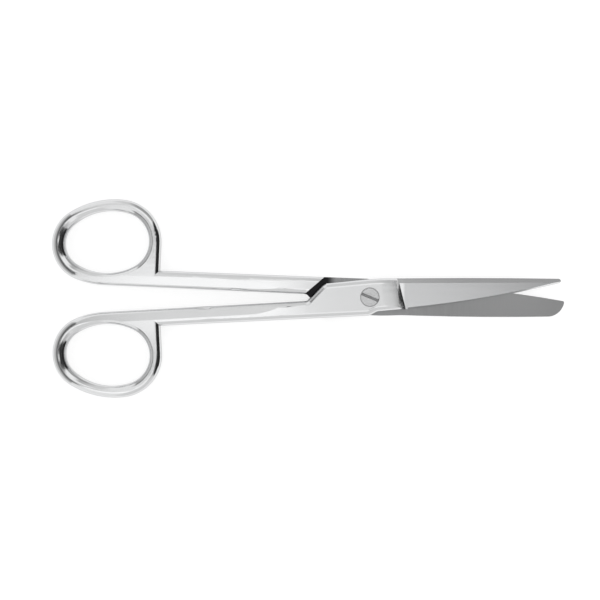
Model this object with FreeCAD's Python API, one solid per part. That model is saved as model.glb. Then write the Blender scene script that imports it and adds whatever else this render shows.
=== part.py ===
import FreeCAD, Part
import math
import os
from FreeCAD import Placement, Rotation, Vector

# Straight operating scissors, one point sharp and one blunt, in millimetres.
# Two forged halves of the same plan cross in a lap joint and turn on one slotted screw.
# Each half is drawn closed: +X runs to the points, the centre line of the closed scissors is y = 0,
# the halves meet on z = 0, the half drawn has its ring at -Y and its joint plate and blade at +Z.
# The part stands in the photographed pose: pivot on the Z axis, the joint's underside on z = 0.

# Overall lengths from the pivot, and the pose
REAR_REACH = 90.25
SHARP_REACH = 54.2
BLUNT_REACH = 55.1
CLOSING_ANGLE = 5.7

# Finger rings: oval openings in a band whose width changes round the ring
RING_LENGTH = 23.6
RING_WIDTH = 17.4
RING_REAR_RADIUS = 6.8
RING_FRONT_RADIUS = 8.1
BAND_REAR = 3.8
BAND_FRONT = 3.5
BAND_FAR = 3.3
BAND_NEAR = 3.5
BAND_FRONT_CORNER = 3.8
RING_TILT = -7.4

# The round that leads into the finger opening, widest at the rear, cut in narrow facets
ROUND_DEPTH = 1.5
ROUND_REAR = 2.4
ROUND_FRONT = 1.5
ROUND_SIDE = 1.5
ROUND_STEPS = 5

# Shanks
SHANK_WIDTH_RING = 4.8
SHANK_WIDTH_JOINT = 5.15
HANDLE_THICKNESS = 4.2
CLOSED_GAP = 0.1
EDGE_ROUND = 1.6
CROWN_AT = 1.8
CROWN_SLOPE = 0.09
CROWN_END = 22.0

# Lap joint
JOINT_THICKNESS = 5.2
LAP_CLEARANCE = 0.05
JOINT_START = 17.8
JOINT_LEAN = 43.0
JOINT_CORNER_RISE = 4.6
JOINT_CORNER_ROUND = 2.2
JOINT_CREST_AT = 2.5
JOINT_TOP = 5.18
JOINT_CREST_ROUND = 60.0
JOINT_INNER_ROUND = 1.0
SHOULDER_CLEARANCE = 0.5
FLARE_END = 18.0
FLARE_START = 50.0

# Heel, where the joint's outer edge steps in to the cutting edge
HEEL_START = -0.4
HEEL_END = 4.4
HEEL_DEPTH = 4.1
HEEL_ROUND = 2.6

# Blades
SPINE_BREAK = 9.0
SPINE_BREAK_ROUND = 40.0
SPINE_RISE = 4.6
SHARP_NOSE_LENGTH = 0.8
SHARP_SPINE_RISE = 2.3
SHARP_SPINE_BOW = 0.12
SHARP_POINT_RISE = 1.65
SHARP_EDGE_RISE = 1.0
SHARP_END_ROUND = 0.35
SHARP_EDGE_BOW = 0.95
BLUNT_NOSE_LENGTH = 4.1
BLUNT_SPINE_RISE = 3.2
BLUNT_SPINE_BOW = 0.22
BLUNT_EDGE_DROP = 1.3
BLUNT_EDGE_BOW = 1.0
BLUNT_NOSE_BULGE = 1.05
BLUNT_CORNER_ROUND = 0.5

# Grinds
ROLL_START = 3.6
ROLL_DROP = 0.25
STEP_AT = 8.0
STEP_SLOPE = 45.0
STEP_LEAN = 3.2
STEP_FOOT_ROUND = 0.5
SPINE_THICKNESS = 1.75
TIP_THICKNESS = 0.75
CROSS_SLOPE = 0.14
BEVEL_BACK_HEEL = 1.05
BEVEL_BACK_TIP = 0.2
BEVEL_SLOPE = 0.42
EDGE_LAND = 0.06
EDGE_ANGLE = 52.0
HOLLOW_START = 11.0
HOLLOW_DEPTH = 0.14
HOLLOW_MARGIN = 0.5

# Screw
HEAD_DIAMETER = 5.4
HEAD_RIM = 0.5
NECK_DIAMETER = 3.4
THREAD_DIAMETER = 3.0
SCREW_CLEARANCE = 0.04
SLOT_WIDTH = 0.8
SLOT_DEPTH = 0.8
SLOT_ANGLE = -23.0

# Where the joint plate's plan hands over to the blade's, and how far cutters run past the metal
BLEND_AT = 14.0
CLEAR = 2.0
REACH = 200.0
TINY = 1e-6

MID_HEIGHT = JOINT_THICKNESS / 2
LAP_FACE = LAP_CLEARANCE / 2
INNER_EDGE = -CLOSED_GAP / 2
OUTER_EDGE = INNER_EDGE - SHANK_WIDTH_JOINT
OUTER_EDGE_RING = INNER_EDGE - SHANK_WIDTH_RING
UP = Vector(0, 0, 1)


def at(x, y, z=0.0):
    return Vector(x, y, z)


def polar(angle, length=1.0):
    turn = math.radians(angle)
    return Vector(length * math.cos(turn), length * math.sin(turn), 0)


def rounded_path(corners):
    """Edges of an open path through (point, radius) corners, each corner rounded by its radius."""
    starts, arcs = [], []
    for before, (point, radius), after in zip(corners, corners[1:], corners[2:]):
        back = (before[0] - point).normalize()
        ahead = (after[0] - point).normalize()
        half = back.getAngle(ahead) / 2
        if radius == 0:
            starts.append((point, point))
            arcs.append(None)
            continue
        run = radius / math.tan(half)
        middle = point + (back + ahead).normalize() * (radius / math.sin(half) - radius)
        first, last = point + back * run, point + ahead * run
        starts.append((first, last))
        arcs.append(Part.Arc(first, middle, last).toShape())
    edges = []
    here = corners[0][0]
    for (first, last), arc in zip(starts, arcs):
        edges.append(Part.makeLine(here, first))
        if arc:
            edges.append(arc)
        here = last
    edges.append(Part.makeLine(here, corners[-1][0]))
    return edges


def face_of(edges):
    return Part.Face(Part.Wire(Part.__sortEdges__(edges)))


class Oval:
    """A tilted oval of four tangent arcs, its front end rounder than its rear end."""

    def __init__(self, length, width, rear_radius, front_radius, tilt):
        self.radii = {-1: rear_radius, 1: front_radius}
        self.reach = {side: side * (length / 2 - self.radii[side]) for side in (-1, 1)}
        span = self.reach[1] - self.reach[-1]
        turn = (front_radius - rear_radius) / span
        rise = width / 2 - rear_radius
        run = span / 2 + turn * (width - rear_radius - front_radius) / 2
        linear, constant = 2 * (run * turn - rise), run ** 2 - rise ** 2
        self.drop = 2 * constant / (math.sqrt(linear ** 2 - 4 * turn ** 2 * constant) - linear)
        self.waist = self.reach[-1] + run + turn * self.drop
        self.side_radius = width / 2 + self.drop
        self.along = polar(tilt)
        self.across = polar(tilt + 90)

    def end_centre(self, centre, side):
        return centre + self.along * self.reach[side]

    def side_centre(self, centre, side):
        return centre + self.along * self.waist - self.across * (side * self.drop)

    def face(self, centre):
        joints = {}
        for end in (-1, 1):
            for side in (-1, 1):
                from_side = self.side_centre(centre, side)
                ray = (self.end_centre(centre, end) - from_side).normalize()
                joints[end, side] = from_side + ray * self.side_radius
        edges = []
        for side in (-1, 1):
            crown = self.side_centre(centre, side) + self.across * (side * self.side_radius)
            edges.append(Part.Arc(joints[-1, side], crown, joints[1, side]).toShape())
        for end in (-1, 1):
            crown = self.end_centre(centre, end) + self.along * (end * self.radii[end])
            edges.append(Part.Arc(joints[end, -1], crown, joints[end, 1]).toShape())
        return face_of(edges)


class Arc:
    """A large arc between two points, bowed by a given rise to the +Y side (1) or the -Y side (-1)."""

    def __init__(self, start, end, bow, side):
        chord = (end - start).Length
        self.side = side
        self.radius = (chord ** 2 / 4 + bow ** 2) / (2 * bow)
        normal = UP.cross(end - start).normalize() * side
        self.centre = (start + end) / 2 - normal * (self.radius - bow)

    def at_x(self, x):
        run = x - self.centre.x
        return at(x, self.centre.y + self.side * math.sqrt(self.radius ** 2 - run ** 2))

    def between(self, x0, x1):
        ends = self.at_x(x0), self.at_x((x0 + x1) / 2), self.at_x(x1)
        return Part.Arc(*ends).toShape()

    def heading(self, x):
        return (self.at_x(x) - self.centre).cross(UP).normalize() * self.side


class Blade:
    """The plan of one blade: its spine line, its cutting edge and its end."""

    def __init__(self, sharp):
        self.sharp = sharp
        self.reach = SHARP_REACH if sharp else BLUNT_REACH
        end_x = self.reach - (SHARP_NOSE_LENGTH if sharp else BLUNT_NOSE_LENGTH)
        end_y = SHARP_SPINE_RISE if sharp else BLUNT_SPINE_RISE
        self.spine_end = at(end_x, end_y)
        spine_bow = SHARP_SPINE_BOW if sharp else BLUNT_SPINE_BOW
        self.spine = Arc(at(BLEND_AT, SPINE_RISE), self.spine_end, spine_bow, 1)
        self.spine_start = self.spine.at_x(BLEND_AT) - self.spine.heading(BLEND_AT) * (BLEND_AT - SPINE_BREAK)
        if sharp:
            self.edge_end = at(self.reach - SHARP_END_ROUND, SHARP_EDGE_RISE)
        else:
            self.edge_end = at(self.reach, -BLUNT_EDGE_DROP)
        bow = SHARP_EDGE_BOW if sharp else BLUNT_EDGE_BOW
        self.edge = Arc(at(HEEL_END, -HEEL_DEPTH), self.edge_end, bow, -1)

    def end_edge(self):
        if self.sharp:
            crown = at(self.reach, SHARP_POINT_RISE)
        else:
            chord = self.edge_end - self.spine_end
            out = UP.cross(chord).normalize() * BLUNT_NOSE_BULGE
            crown = (self.edge_end + self.spine_end) / 2 + out
        return Part.Arc(self.spine_end, crown, self.edge_end).toShape()

    def blank(self):
        """The blade's plan as a solid that stands on the lap face's middle plane."""
        low = self.edge.at_x(BLEND_AT)
        high = self.spine.at_x(BLEND_AT)
        edges = [self.edge.between(BLEND_AT, self.edge_end.x), Part.makeLine(low, high),
                 self.spine.between(BLEND_AT, self.spine_end.x), self.end_edge()]
        solid = prism(face_of(edges), MID_HEIGHT)
        if self.sharp:
            return solid
        corner = [edge for edge in solid.Edges
                  if all((v.Point - self.edge_end).projectToPlane(Vector(), UP).Length < TINY
                         for v in edge.Vertexes)]
        return solid.makeFillet(BLUNT_CORNER_ROUND, corner)


def opening_oval(share=0.0):
    """The oval of the finger opening, or of its round at a share of the way out."""
    return Oval(RING_LENGTH + share * (ROUND_REAR + ROUND_FRONT), RING_WIDTH + 2 * share * ROUND_SIDE,
                RING_REAR_RADIUS + share * ROUND_REAR, RING_FRONT_RADIUS + share * ROUND_FRONT, RING_TILT)


def opening_cutter(centre):
    """The finger opening and the elliptic round that leads into it from both faces."""
    top = HANDLE_THICKNESS / 2
    steps = []
    for step in range(ROUND_STEPS):
        turn = math.pi / 2 * step / ROUND_STEPS
        steps.append((1 - math.cos(turn), top - ROUND_DEPTH * (1 - math.sin(turn))))
    share, height = steps[-1]
    steps.append((1, height + (1 - share) * ROUND_DEPTH / math.tan(turn)))
    rims = []
    for share, height in steps:
        oval = opening_oval(share)
        shift = oval.along * (share * (ROUND_REAR - ROUND_FRONT) / 2)
        rims.append(oval.face(centre - shift + at(0, 0, height)).OuterWire)
    funnel = Part.makeLoft(rims, True, True)
    return prism(opening_oval().face(centre)).fuse([funnel, funnel.mirror(Vector(), UP)])


def ring_plan():
    outer = Oval(RING_LENGTH + BAND_REAR + BAND_FRONT, RING_WIDTH + BAND_FAR + BAND_NEAR,
                 RING_REAR_RADIUS + BAND_REAR, RING_FRONT_RADIUS + BAND_FRONT_CORNER, RING_TILT)
    near = outer.side_centre(Vector(), 1)
    rear = outer.end_centre(Vector(), -1)
    centre = at(outer.radii[-1] - REAR_REACH - rear.x, INNER_EDGE - near.y - outer.side_radius)
    shift = outer.along * ((BAND_REAR - BAND_FRONT) / 2) - outer.across * ((BAND_NEAR - BAND_FAR) / 2)
    return outer, centre, centre + shift


def handle_edges(blade, outer, centre):
    """The plan of the shank and joint plate, from the ring's tangent point round to its front."""
    tangent = at(outer.side_centre(centre, 1).x, INNER_EDGE)
    front = outer.end_centre(centre, 1)
    wall_x = front.x + outer.radii[1]
    run = (JOINT_CORNER_RISE - INNER_EDGE) / math.tan(math.radians(JOINT_LEAN))
    low, high = blade.edge.at_x(BLEND_AT), blade.spine.at_x(BLEND_AT)
    top = [(tangent, 0), (at(-JOINT_START, INNER_EDGE), JOINT_INNER_ROUND),
           (at(run - JOINT_START, JOINT_CORNER_RISE), JOINT_CORNER_ROUND),
           (at(JOINT_CREST_AT, JOINT_TOP), JOINT_CREST_ROUND),
           (blade.spine_start, SPINE_BREAK_ROUND), (high, 0)]
    heel = blade.edge.at_x(HEEL_END)
    lead = heel - blade.edge.heading(HEEL_END) * ((HEEL_END - HEEL_START) / 2)
    bottom = [(heel, 0), (lead, HEEL_ROUND), (at(HEEL_START, OUTER_EDGE), HEEL_ROUND),
              (at(wall_x, OUTER_EDGE_RING), 0), (at(wall_x, front.y), 0), (front, 0), (tangent, 0)]
    return rounded_path(top) + [Part.makeLine(high, low), blade.edge.between(HEEL_END, BLEND_AT)] \
        + rounded_path(bottom)


def side_profile():
    """Side view of the handle and joint: a thin shank that flares by an ogee to the joint."""
    thin, thick = HANDLE_THICKNESS / 2, JOINT_THICKNESS / 2
    middle = at(-(FLARE_START + FLARE_END) / 2, 0, (thin + thick) / 2)
    length, rise = FLARE_START - FLARE_END, thick - thin
    edges = []
    for side in (-1, 1):
        low, high = at(-FLARE_START, 0, side * thin), at(-FLARE_END, 0, side * thick)
        centre = Vector(middle.x, 0, side * middle.z)
        sag = rise / 8
        lower = Vector(-FLARE_START + length / 4, 0, side * (thin + sag))
        upper = Vector(-FLARE_END - length / 4, 0, side * (thick - sag))
        edges.append(Part.makeLine(at(-REACH, 0, side * thin), low))
        edges.append(Part.Arc(low, lower, centre).toShape())
        edges.append(Part.Arc(centre, upper, high).toShape())
        edges.append(Part.makeLine(high, at(BLEND_AT, 0, side * thick)))
    for x, half in ((-REACH, thin), (BLEND_AT, thick)):
        edges.append(Part.makeLine(at(x, 0, -half), at(x, 0, half)))
    profile = face_of(edges)
    profile.translate(at(0, -REACH, 0))
    return profile.extrude(at(0, 2 * REACH, 0))


def crown_cutter():
    """The ground facet on the inner side of the shank's face, running out towards the joint."""
    thin, thick = HANDLE_THICKNESS / 2, JOINT_THICKNESS / 2
    ridge = OUTER_EDGE_RING + CROWN_AT
    rise = thick - thin - CROWN_SLOPE * ridge
    top = thick + rise
    level, middle = at(-FLARE_START, 0, thin), at(-(FLARE_START + CROWN_END) / 2, 0, thin + rise / 4)
    end = at(-CROWN_END, 0, thin + rise)
    edges = [Part.makeLine(at(-REACH, 0, thin), level), Part.Arc(level, middle, end).toShape()]
    rest = [end, at(-CROWN_END, 0, top), at(-REACH, 0, top), at(-REACH, 0, thin)]
    edges += [Part.makeLine(a, b) for a, b in zip(rest, rest[1:])]
    cutter = face_of(edges).translated(at(0, ridge)).extrude(at(0, 1, -CROWN_SLOPE) * JOINT_THICKNESS)
    return cutter.fuse(cutter.mirror(Vector(), UP))


def outline_edges(solid, end_x):
    """Edges where the flat of the half meets its upright walls, the cut end at end_x left out."""
    chosen = []
    for edge in solid.Edges:
        box = edge.BoundBox
        if abs(box.XMin - end_x) < TINY and abs(box.XMax - end_x) < TINY:
            continue
        steep = []
        for face in solid.ancestorsOfType(edge, Part.Face):
            u, v = face.Surface.parameter(edge.valueAt(sum(edge.ParameterRange) / 2))
            steep.append(abs(face.normalAt(u, v).z) < 0.5)
        if len(steep) == 2 and steep[0] != steep[1]:
            chosen.append(edge)
    return chosen


def prism(face, depth=JOINT_THICKNESS):
    """The plan face made solid through the whole height of the joint."""
    return face.translated(at(0, 0, -depth)).extrude(at(0, 0, 2 * depth))


def handle_block(blade):
    """Ring, shank and joint plate in one, full height, with every outer edge rounded."""
    outer, outer_centre, inner_centre = ring_plan()
    block = prism(face_of(handle_edges(blade, outer, outer_centre)))
    block = block.fuse(prism(outer.face(outer_centre))).removeSplitter()
    block = block.common(side_profile()).removeSplitter().Solids[0]
    block = block.makeFillet(EDGE_ROUND, outline_edges(block, BLEND_AT))
    return block.cut([opening_cutter(inner_centre), crown_cutter()])


def lap_cutter():
    """Takes away the half that lies under the joint plate, back to the slanting shoulder."""
    lean = math.radians(JOINT_LEAN)
    slant = SHOULDER_CLEARANCE / math.sin(lean)
    foot = at(-JOINT_START - slant, -INNER_EDGE)
    wide = 6 * JOINT_TOP
    away = at(wide * math.cos(lean), -wide * math.sin(lean))
    corners = [foot - away, foot + away, at(REACH, -wide), at(REACH, wide), foot - away]
    face = Part.Face(Part.makePolygon(corners))
    depth = JOINT_THICKNESS
    return face.translated(at(0, 0, LAP_FACE - depth)).extrude(at(0, 0, depth))


def face_height(x, y):
    """Height of the blade's ground outer face: thinner to the point and to the cutting edge."""
    rise = SPINE_RISE - SHARP_POINT_RISE
    fall = (SPINE_THICKNESS - TIP_THICKNESS - CROSS_SLOPE * rise) / (SHARP_REACH - SPINE_BREAK)
    return SPINE_THICKNESS - CROSS_SLOPE * (SPINE_RISE - y) - fall * (x - SPINE_BREAK)


def face_cutter():
    """Everything above the blade's ground outer face."""
    wide, far = 2 * JOINT_TOP, SHARP_REACH + BLEND_AT
    walls = []
    for x in (0, far):
        low, high = at(x, -wide, face_height(x, -wide)), at(x, wide, face_height(x, wide))
        top = at(0, 0, 2 * JOINT_THICKNESS)
        walls.append(Part.makePolygon([low, high, at(x, wide) + top, at(x, -wide) + top, low]))
    return Part.makeLoft(walls, True, True)


def step_cutter():
    """Everything beyond the roll-off and the steep step at the end of the joint plate."""
    run = STEP_AT - ROLL_START
    high, top = MID_HEIGHT, 2 * JOINT_THICKNESS
    middle = at(ROLL_START + run / 2, 0, high - ROLL_DROP / 4)
    brow = at(STEP_AT, 0, high - ROLL_DROP)
    drop = brow.z + LAP_FACE
    foot = at(STEP_AT + drop / math.tan(math.radians(STEP_SLOPE)), 0, -LAP_FACE)
    start, far = at(ROLL_START, 0, high), SHARP_REACH + BLEND_AT
    edges = [Part.Arc(start, middle, brow).toShape(), Part.makeLine(brow, foot)]
    rest = [foot, at(far, 0, foot.z), at(far, 0, top), at(ROLL_START, 0, top), start]
    edges += [Part.makeLine(a, b) for a, b in zip(rest, rest[1:])]
    cutter = face_of(edges).translated(at(0, -REACH)).extrude(at(0, 2 * REACH))
    cutter.rotate(at(STEP_AT, 0), UP, STEP_LEAN)
    return cutter


def grind_cutter():
    """What is ground off above the blade, rounded where the step's foot meets the outer face."""
    cutter = step_cutter().common(face_cutter())
    creases = []
    for edge in cutter.Edges:
        normals = [face.normalAt(0, 0) for face in cutter.ancestorsOfType(edge, Part.Face)]
        if all(normal.z < -0.5 for normal in normals):
            creases.append(edge)
    foot = min(creases, key=lambda edge: edge.CenterOfMass.z)
    return cutter.makeFillet(STEP_FOOT_ROUND, [foot])


def bevel_cutter(blade):
    """The flat bevel along the back of the blade."""
    walls = []
    for x, back in ((STEP_AT, BEVEL_BACK_HEEL), (BLUNT_REACH + CLEAR, BEVEL_BACK_TIP)):
        spine = blade.spine.at_x(x)
        low = spine + at(0, CLEAR, back - BEVEL_SLOPE * CLEAR)
        high = spine + at(0, -JOINT_TOP, back + BEVEL_SLOPE * JOINT_TOP)
        top = spine + at(0, CLEAR, back + JOINT_THICKNESS)
        walls.append(Part.makePolygon([low, high, top, low]))
    return Part.makeLoft(walls, True, True)


def edge_cutter(blade):
    """The sharpened bevel: a cone about the axis of the cutting edge's arc."""
    arc = blade.edge
    slope = math.tan(math.radians(EDGE_ANGLE))
    inner = arc.radius - (JOINT_THICKNESS - EDGE_LAND) / slope
    outer = arc.radius + CLEAR
    start = STEP_AT + MID_HEIGHT / math.tan(math.radians(STEP_SLOPE))
    ray = (arc.at_x(start) - arc.centre).normalize()
    corners = [arc.centre + ray * radius + at(0, 0, z) for radius, z in (
        (inner, JOINT_THICKNESS), (outer, EDGE_LAND - CLEAR * slope), (outer, JOINT_THICKNESS))]
    sweep = math.degrees((blade.reach + CLEAR - start) / arc.radius)
    return Part.Face(Part.makePolygon(corners + corners[:1])).revolve(arc.centre, UP, sweep)


def hollow_cutter(blade):
    """The shallow hollow ground in the inner face, dying out at the point."""
    far = blade.spine_end.x
    ends = []
    for x in (HOLLOW_START, far):
        low, high = blade.edge.at_x(x), blade.spine.at_x(x)
        ends.append(((low + high) / 2, high.y - low.y - 2 * HOLLOW_MARGIN))
    (start, width), (end, end_width) = ends
    radius = width ** 2 / (8 * HOLLOW_DEPTH)
    end_depth = end_width ** 2 / (8 * radius)
    start = start + at(0, 0, LAP_FACE + HOLLOW_DEPTH - radius)
    end = end + at(0, 0, LAP_FACE + end_depth - radius)
    run = end - start
    return Part.makeCylinder(radius, run.Length + BLEND_AT, start, run)


def screw_profile(clearance):
    """Half outline of the screw above the lap: neck, cone and rim, grown by a clearance."""
    neck, head = NECK_DIAMETER / 2 + clearance, HEAD_DIAMETER / 2 + clearance
    cone_top = MID_HEIGHT - HEAD_RIM
    cone_foot = cone_top - (head - neck)
    return neck, head, cone_foot, cone_top


def turned(points):
    """A solid turned about the Z axis from (radius, height) points."""
    corners = [at(radius, 0, height) for radius, height in points]
    return Part.Face(Part.makePolygon(corners + corners[:1])).revolve(Vector(), UP, 360)


def screw_hole():
    neck, head, cone_foot, cone_top = screw_profile(SCREW_CLEARANCE)
    return turned([(0, -JOINT_THICKNESS), (neck, -JOINT_THICKNESS), (neck, cone_foot),
                   (head, cone_top), (head, JOINT_THICKNESS), (0, JOINT_THICKNESS)])


def thread_hole():
    depth = JOINT_THICKNESS
    return Part.makeCylinder(THREAD_DIAMETER / 2, 2 * depth, at(0, 0, -depth))


def screw():
    """Slotted screw: flush countersunk head, plain neck, threaded end level with the underside."""
    neck, head, cone_foot, cone_top = screw_profile(0)
    seat, end, thread = -LAP_FACE, -MID_HEIGHT, THREAD_DIAMETER / 2
    body = turned([(0, end), (thread, end), (thread, seat), (neck, seat), (neck, cone_foot),
                   (head, cone_top), (head, MID_HEIGHT), (0, MID_HEIGHT)])
    slot = Part.makeBox(2 * HEAD_DIAMETER, SLOT_WIDTH, 2 * SLOT_DEPTH,
                        at(-HEAD_DIAMETER, -SLOT_WIDTH / 2, MID_HEIGHT - SLOT_DEPTH))
    slot.rotate(Vector(), UP, SLOT_ANGLE)
    return body.cut(slot)


def half(sharp, hole):
    """One forged half, closed, with its joint plate above z = 0."""
    blade = Blade(sharp)
    body = handle_block(blade)
    body = body.fuse(blade.blank()).removeSplitter()
    body = body.cut(lap_cutter())
    body = body.cut(grind_cutter())
    body = body.cut(bevel_cutter(blade))
    body = body.cut(edge_cutter(blade))
    body = body.cut(hollow_cutter(blade))
    body = body.cut(hole)
    return body


def main():
    os.makedirs("parts", exist_ok=True)
    turn = CLOSING_ANGLE / 2
    pivot = at(0, 0, MID_HEIGHT)
    flip = Rotation(at(1, 0), 180)
    upper = half(True, screw_hole())
    upper.Placement = Placement(pivot, Rotation(UP, turn))
    lower = half(False, thread_hole())
    lower.Placement = Placement(pivot, Rotation(UP, -turn).multiply(flip))
    pin = screw()
    pin.translate(pivot)
    parts = {"upper_half": upper, "lower_half": lower, "pivot_screw": pin}
    for name, shape in parts.items():
        print(name, len(shape.Solids), shape.isValid(), round(shape.Volume, 1))
        shape.exportStep(f"parts/{name}.step")


main()
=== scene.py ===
import math

import bpy
from mathutils import Matrix, Vector


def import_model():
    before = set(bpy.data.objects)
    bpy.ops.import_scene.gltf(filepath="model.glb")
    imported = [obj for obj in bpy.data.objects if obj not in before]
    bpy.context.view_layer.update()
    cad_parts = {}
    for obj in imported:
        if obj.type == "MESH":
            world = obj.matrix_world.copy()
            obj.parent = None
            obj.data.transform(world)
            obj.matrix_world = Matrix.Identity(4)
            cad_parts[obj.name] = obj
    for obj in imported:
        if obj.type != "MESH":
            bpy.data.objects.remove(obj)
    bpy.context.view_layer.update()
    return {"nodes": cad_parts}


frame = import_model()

MM = 0.001

# The photograph: its scale, the screw's place in it, and its slight turn in degrees
PHOTO_SIZE = 600
PIXEL = 0.28265 * MM
SCREW_PIXEL = (369.5, 297.2)
PHOTO_ROLL = 0.28
LENS = 100.0
SENSOR = 36.0
CLIP = (0.01, 20)

# The height of the lap between the halves, and how near to it a face counts as lying in it
LAP_HEIGHT = 2.6 * MM
LAP_NEARNESS = (0.2 * MM, 0.35 * MM)

# Where one finish or painted shade gives way to the next, from and to: along X, in height and over the
# radius
BLADE_START = (9.2 * MM, 10.2 * MM)
RECESS_SHADE_END = (-12 * MM, -9 * MM)
TOWARDS_POINT = (15 * MM, 50 * MM)
SLOT_HEIGHT = (4.9 * MM, 5.15 * MM)
HEAD_RIM = (2.2 * MM, 2.7 * MM)

# How squarely a face must look up or down to take the finish of a flat face, from and to
INNER_FACING = (0.85, 0.97)
BLADE_FACING = (0.9, 0.97)

# Greys of the steel, with painted shade for the recess by the shoulder, the screw's slot and the
# head's rim; a pair is mixed in cloudy or ground marks
POLISHED_GREYS = ((0.70, 0.705, 0.71, 1), (0.76, 0.763, 0.766, 1))
BLADE_GREY = (0.60, 0.605, 0.61, 1)
BLADE_SHARE = 0.9
GROUND_GREYS = ((0.32, 0.323, 0.326, 1), (0.40, 0.403, 0.406, 1))
POINT_GREY = (0.48, 0.483, 0.486, 1)
RECESS_PAINTED_SHADE = (0.02, 0.02, 0.021, 1)
HEAD_GREYS = ((0.58, 0.585, 0.59, 1), (0.68, 0.683, 0.686, 1))
SLOT_PAINTED_SHADE = (0.36, 0.362, 0.365, 1)
RIM_PAINTED_SHADE = (0.28, 0.282, 0.285, 1)
RIM_SHADE_SHARE = 0.7
GRAZING_TINT = (0.7, 0.7, 0.7, 1)

# Roughness of each finish, and how far the polishing marks change it
POLISHED_ROUGH = (0.10, 0.15)
BLADE_ROUGH = 0.24
GROUND_ROUGH = 0.34
HEAD_ROUGH = (0.17, 0.24)
SLOT_ROUGH = 0.38
POLISH_SPREAD = 0.05

# Marks in the steel: density per metre along X, Y and Z or over the radius, turn in degrees
NOISE_DETAIL = 3.0
POLISH_DENSITY = (40, 900, 900)
GRIND_DENSITY = (2600, 120, 300)
GRIND_TURN = 8
GRIND_HARSHNESS = 0.6
STEEL_CLOUDS = 90.0
HEAD_CLOUDS = 400.0
TURNING_DENSITY = 52000.0

# Strength and depth of the marks as relief
STEEL_RELIEF = (0.12, 0.02 * MM)
HEAD_RELIEF = (0.15, 0.01 * MM)

# The studio: lengths in metres, and the floor's greys
FLOOR_REACH = 3.0
FLOOR_DROP = 0.2 * MM
FLOOR_LIT = (0.85, 0.85, 0.85, 1)
FLOOR_PALE = (0.4, 0.4, 0.4, 1)
FLOOR_GLOW = 0.7
CEILING_REACH = 2.5
CEILING_HEIGHT = 1
DARK_CARD_X = 0.22
DARK_FOOT_HEIGHT = 0.07

# Corners of a square in the order that makes it face up or down
FACING_UP = ((-1, -1), (1, -1), (1, 1), (-1, 1))
FACING_DOWN = ((-1, -1), (-1, 1), (1, 1), (1, -1))

nodes = frame["nodes"]


# Node trees

class Tree:
    """A short way to write a node tree."""

    def __init__(self, tree):
        self.tree = tree
        tree.nodes.clear()

    def add(self, kind, **settings):
        node = self.tree.nodes.new(kind)
        for name, value in settings.items():
            setattr(node, name, value)
        return node

    def put(self, socket, value):
        if isinstance(value, bpy.types.NodeSocket):
            self.tree.links.new(value, socket)
        else:
            socket.default_value = value

    def split(self, vector):
        node = self.add("ShaderNodeSeparateXYZ")
        self.put(node.inputs[0], vector)
        return node.outputs

    def math(self, operation, *values):
        node = self.add("ShaderNodeMath", operation=operation)
        for socket, value in zip(node.inputs, values):
            self.put(socket, value)
        return node.outputs[0]

    def times(self, first, *others):
        product = first
        for value in others:
            product = self.math("MULTIPLY", product, value)
        return product

    def blend(self, value, low, high):
        """0 below low, 1 above high, smooth between."""
        node = self.add("ShaderNodeMapRange", interpolation_type="SMOOTHSTEP")
        self.put(node.inputs["Value"], value)
        self.put(node.inputs["From Min"], low)
        self.put(node.inputs["From Max"], high)
        return node.outputs[0]

    def fade(self, value, low, high):
        """1 below low, 0 above high, smooth between."""
        return self.math("SUBTRACT", 1.0, self.blend(value, low, high))

    def mix_colour(self, share, first, second):
        node = self.add("ShaderNodeMix", data_type="RGBA")
        self.put(node.inputs["Factor"], share)
        self.put(node.inputs[6], first)
        self.put(node.inputs[7], second)
        return node.outputs[2]

    def mix(self, share, first, second):
        node = self.add("ShaderNodeMix", data_type="FLOAT")
        self.put(node.inputs["Factor"], share)
        self.put(node.inputs[2], first)
        self.put(node.inputs[3], second)
        return node.outputs[0]

    def noise(self, vector, scale, roughness=0.5):
        node = self.add("ShaderNodeTexNoise")
        self.put(node.inputs["Vector"], vector)
        self.put(node.inputs["Scale"], scale)
        self.put(node.inputs["Detail"], NOISE_DETAIL)
        self.put(node.inputs["Roughness"], roughness)
        return node.outputs["Fac"]

    def stretched(self, vector, scale, turn=0.0):
        node = self.add("ShaderNodeMapping")
        self.put(node.inputs["Vector"], vector)
        node.inputs["Scale"].default_value = scale
        node.inputs["Rotation"].default_value = (0, 0, math.radians(turn))
        return node.outputs[0]

    def diffuse(self, colour):
        node = self.add("ShaderNodeBsdfDiffuse")
        node.inputs["Color"].default_value = colour
        return node.outputs[0]

    def glow(self, strength):
        node = self.add("ShaderNodeEmission")
        self.put(node.inputs["Strength"], strength)
        return node.outputs[0]

    def end(self, surface, kind="ShaderNodeOutputMaterial"):
        self.put(self.add(kind).inputs["Surface"], surface)


def new_material(name):
    material = bpy.data.materials.new(name)
    material.use_nodes = True
    return material, Tree(material.node_tree)


# Steel

def bare_metal(t, colour, rough, height, relief):
    """Ends a tree in bare metal. relief is the strength and depth of the marks given by height."""
    bump = t.add("ShaderNodeBump")
    bump.inputs["Strength"].default_value, bump.inputs["Distance"].default_value = relief
    t.put(bump.inputs["Height"], height)
    shader = t.add("ShaderNodeBsdfPrincipled")
    shader.inputs["Metallic"].default_value = 1.0
    shader.inputs["Specular Tint"].default_value = GRAZING_TINT
    t.put(shader.inputs["Base Color"], colour)
    t.put(shader.inputs["Roughness"], rough)
    t.put(shader.inputs["Normal"], bump.outputs[0])
    t.end(shader.outputs[0])


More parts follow.
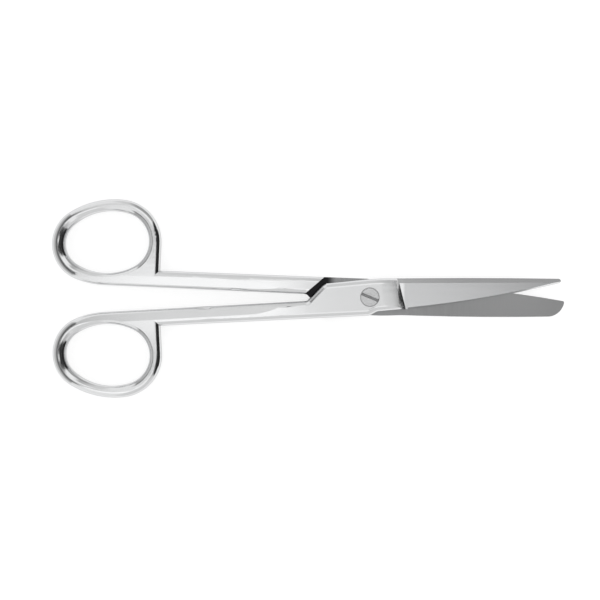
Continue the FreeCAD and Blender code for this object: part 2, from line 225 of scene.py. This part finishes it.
def steel(name, inner_side):
    """Forged stainless steel. inner_side is +1 or -1: the way the half's ground inner face looks."""
    material, t = new_material(name)
    coords = t.add("ShaderNodeTexCoord")
    place = coords.outputs["Object"]
    x, y, z = t.split(place)
    up = t.split(coords.outputs["Normal"])[2]

    # The inner face and the blade's outer face are ground across, the rest is polished lengthways.
    level = t.math("ABSOLUTE", t.math("SUBTRACT", z, LAP_HEIGHT))
    inner = t.times(t.fade(level, *LAP_NEARNESS), t.blend(t.times(up, inner_side), *INNER_FACING))
    blade = t.times(t.blend(x, *BLADE_START), t.blend(t.times(up, -inner_side), *BLADE_FACING))
    # painted shade: the inner face near the shoulder is made nearly black, standing in for the shade
    # in the gap between the halves
    recess_shade = t.times(inner, t.fade(x, *RECESS_SHADE_END))

    polish = t.noise(t.stretched(place, POLISH_DENSITY), 1.0)
    grind = t.noise(t.stretched(place, GRIND_DENSITY, GRIND_TURN), 1.0, GRIND_HARSHNESS)
    cloud = t.noise(place, STEEL_CLOUDS)

    colour = t.mix_colour(cloud, *POLISHED_GREYS)
    colour = t.mix_colour(t.times(blade, BLADE_SHARE), colour, BLADE_GREY)
    ground = t.mix_colour(grind, *GROUND_GREYS)
    ground = t.mix_colour(t.blend(x, *TOWARDS_POINT), ground, POINT_GREY)
    colour = t.mix_colour(inner, colour, ground)
    # painted shade: nearly black in the recess by the shoulder
    colour = t.mix_colour(recess_shade, colour, RECESS_PAINTED_SHADE)

    rough = t.mix(cloud, *POLISHED_ROUGH)
    rough = t.mix(blade, rough, BLADE_ROUGH)
    rough = t.mix(inner, rough, GROUND_ROUGH)
    rough = t.math("ADD", rough, t.times(t.math("SUBTRACT", polish, 0.5), POLISH_SPREAD))

    height = t.mix(t.math("MAXIMUM", blade, inner), polish, grind)
    bare_metal(t, colour, rough, height, STEEL_RELIEF)
    return material


def screw_steel(name):
    """The screw's head, turned and then polished; painted shade darkens its slot and its rim, and the
    slot is rougher.
    """
    material, t = new_material(name)
    place = t.add("ShaderNodeTexCoord").outputs["Object"]
    x, y, z = t.split(place)
    radius = t.math("SQRT", t.math("ADD", t.math("POWER", x, 2.0), t.math("POWER", y, 2.0)))
    rings = t.math("SINE", t.times(radius, TURNING_DENSITY))
    cloud = t.noise(place, HEAD_CLOUDS)
    slot = t.fade(z, *SLOT_HEIGHT)
    rim = t.times(t.blend(radius, *HEAD_RIM), RIM_SHADE_SHARE)
    colour = t.mix_colour(cloud, *HEAD_GREYS)
    # painted shade: the slot is darkened below its top edge
    colour = t.mix_colour(slot, colour, SLOT_PAINTED_SHADE)
    # painted shade: a dark ring around the head's outer edge, where it meets the plate
    colour = t.mix_colour(rim, colour, RIM_PAINTED_SHADE)
    rough = t.mix(slot, t.mix(cloud, *HEAD_ROUGH), SLOT_ROUGH)
    bare_metal(t, colour, rough, rings, HEAD_RELIEF)
    return material


def dress(node, material):
    for slot in node.material_slots:
        slot.material = material


dress(nodes["upper_half"], steel("forged_steel_upper", -1))
dress(nodes["lower_half"], steel("forged_steel_lower", 1))
dress(nodes["pivot_screw"], screw_steel("screw_steel"))


# Studio

def white_for_the_eye(t, lit, white):
    """Shows a plain white to the camera and in reflections, and the lit surface to everything else."""
    path = t.add("ShaderNodeLightPath")
    seen = t.math("MAXIMUM", path.outputs["Is Camera Ray"], path.outputs["Is Glossy Ray"])
    seen = t.math("MAXIMUM", seen, path.outputs["Is Transmission Ray"])
    mixer = t.add("ShaderNodeMixShader")
    for socket, value in zip(mixer.inputs, (seen, lit, white)):
        t.put(socket, value)
    return mixer.outputs[0]


def plain_mesh(name, corners):
    mesh = bpy.data.meshes.new(name)
    mesh.from_pydata(corners, [], [tuple(range(len(corners)))])
    thing = bpy.data.objects.new(name, mesh)
    bpy.context.scene.collection.objects.link(thing)
    return thing


def square(reach, height, order):
    return [(a * reach, b * reach, height) for a, b in order]


def floor():
    thing = plain_mesh("floor", square(FLOOR_REACH, 0, FACING_UP))
    thing.location.z = -FLOOR_DROP
    material, t = new_material("floor_white")
    both = t.add("ShaderNodeAddShader")
    t.put(both.inputs[0], t.glow(FLOOR_GLOW))
    t.put(both.inputs[1], t.diffuse(FLOOR_PALE))
    t.end(white_for_the_eye(t, t.diffuse(FLOOR_LIT), both.outputs[0]))
    thing.data.materials.append(material)


def world():
    surround = bpy.data.worlds.new("studio")
    bpy.context.scene.world = surround
    surround.use_nodes = True
    t = Tree(surround.node_tree)
    back = t.add("ShaderNodeBackground")
    back.inputs["Color"].default_value = (1, 1, 1, 1)
    back.inputs["Strength"].default_value = 1.0
    t.end(back.outputs[0], "ShaderNodeOutputWorld")


def glowing(name, corners, level):
    """A plain sheet seen only in reflections. level(t, x, y, z) is its brightness at a place on it."""
    thing = plain_mesh(name, corners)
    material, t = new_material(name)
    place = t.split(t.add("ShaderNodeTexCoord").outputs["Object"])
    t.end(t.glow(level(t, *place)))
    thing.data.materials.append(material)
    thing.visible_camera = False
    thing.visible_shadow = False
    thing.visible_diffuse = False


def upright(name, centre, width, height, level):
    """An upright card, the middle of its lower edge at centre, facing the screw's axis."""
    middle = Vector(centre)
    side = Vector((0, 0, 1)).cross(middle).normalized()
    corners = [middle + side * (a * width / 2) + Vector((0, 0, b * height))
               for a, b in ((-1, 0), (1, 0), (1, 1), (-1, 1))]
    glowing(name, corners, level)


def patch(t, x, y, box, soft):
    """1 inside a rectangle (x_low, x_high, y_low, y_high), falling to 0 over soft outside it."""
    x_low, x_high, y_low, y_high = box
    return t.times(t.blend(x, x_low - soft, x_low), t.fade(x, x_high, x_high + soft),
                   t.blend(y, y_low - soft, y_low), t.fade(y, y_high, y_high + soft))


def ceiling_level(t, x, y, z):
    """A lit strip above the object, brighter towards the rings, with other greys on both sides of it.

    It is dark well behind the rings, in a small patch on each side that the ring fronts mirror, and
    in a long patch on each side beyond the points.
    """
    away = t.math("ABSOLUTE", y)
    strip = t.mix(t.blend(x, -0.10, 0.01), 1.38, 0.93)
    strip = t.mix(t.blend(x, 0.04, 0.12), strip, 1.0)
    far = t.mix(t.blend(x, -0.11, -0.03), 0.86, 1.12)
    near = t.mix(t.blend(x, -0.09, -0.05), 1.3, 1.1)
    near = t.mix(t.blend(x, 0.05, 0.10), near, 1.12)
    near = t.mix(t.blend(x, 0.19, 0.26), near, 0.6)
    beside = t.mix(t.blend(y, -0.05, 0.05), near, far)
    level = t.mix(t.blend(away, 0.10, 0.14), strip, beside)
    beyond_rings = t.times(t.fade(x, -0.245, -0.175), t.fade(away, 0.12, 0.18))
    level = t.mix(beyond_rings, level, 0.05)
    level = t.mix(patch(t, x, away, (-0.165, -0.13, 0.045, 0.07), 0.012), level, 0.1)
    return t.mix(patch(t, x, away, (0.10, 0.5, 0.05, 0.18), 0.018), level, 0.04)


def dark_level(t, x, y, z):
    """Nearly black, a little paler higher up."""
    return t.mix(t.blend(z, 0.0, 0.8), 0.015, 0.04)


def rear_level(t, x, y, z):
    """Pale at the foot, dark from half a metre up."""
    return t.mix(t.blend(z, 0.0, 0.5), 0.75, 0.14)


def far_level(t, x, y, z):
    """White behind the rings, darker in three steps towards the points."""
    level = t.mix(t.blend(x, -0.14, -0.10), 1.0, 0.8)
    level = t.mix(t.blend(x, -0.01, 0.05), level, 0.6)
    return t.mix(t.blend(x, 0.05, 0.11), level, 0.43)


def near_level(t, x, y, z):
    """White behind the rings, a little darker elsewhere."""
    return t.mix(t.blend(x, -0.14, -0.10), 1.0, 0.82)


def camera():
    """Straight above the photograph's centre, so that the screw falls on its own pixel."""
    data = bpy.data.cameras.new("photo_camera")
    data.lens = LENS
    data.sensor_width = SENSOR
    data.clip_start, data.clip_end = CLIP
    thing = bpy.data.objects.new("photo_camera", data)
    bpy.context.scene.collection.objects.link(thing)
    distance = PHOTO_SIZE * PIXEL * LENS / SENSOR
    turn = math.radians(PHOTO_ROLL)
    half = PHOTO_SIZE / 2
    off = Vector(((half - SCREW_PIXEL[0]) * PIXEL, (SCREW_PIXEL[1] - half) * PIXEL, 0))
    centre = Matrix.Rotation(-turn, 3, "Z") @ off
    thing.location = centre + Vector((0, 0, distance + LAP_HEIGHT))
    thing.rotation_euler = (0, 0, -turn)
    bpy.context.scene.camera = thing


floor()
world()
glowing("ceiling", square(CEILING_REACH, CEILING_HEIGHT, FACING_DOWN), ceiling_level)

# Each card: its name, the middle of its lower edge, its width, its height and its brightness
upright("dark_card", (DARK_CARD_X, 0.0, DARK_FOOT_HEIGHT), 0.44, 0.73, dark_level)
upright("dark_foot", (DARK_CARD_X, 0.0, 0.0), 0.24, DARK_FOOT_HEIGHT, dark_level)
upright("rear_card", (-0.30, 0.0, 0.0), 0.6, 0.95, rear_level)
upright("far_card", (0.0, 0.5, 0.0), 1.2, 0.9, far_level)
upright("near_card", (0.0, -0.5, 0.0), 1.2, 0.9, near_level)
camera()

bpy.context.scene.view_settings.view_transform = "Standard"
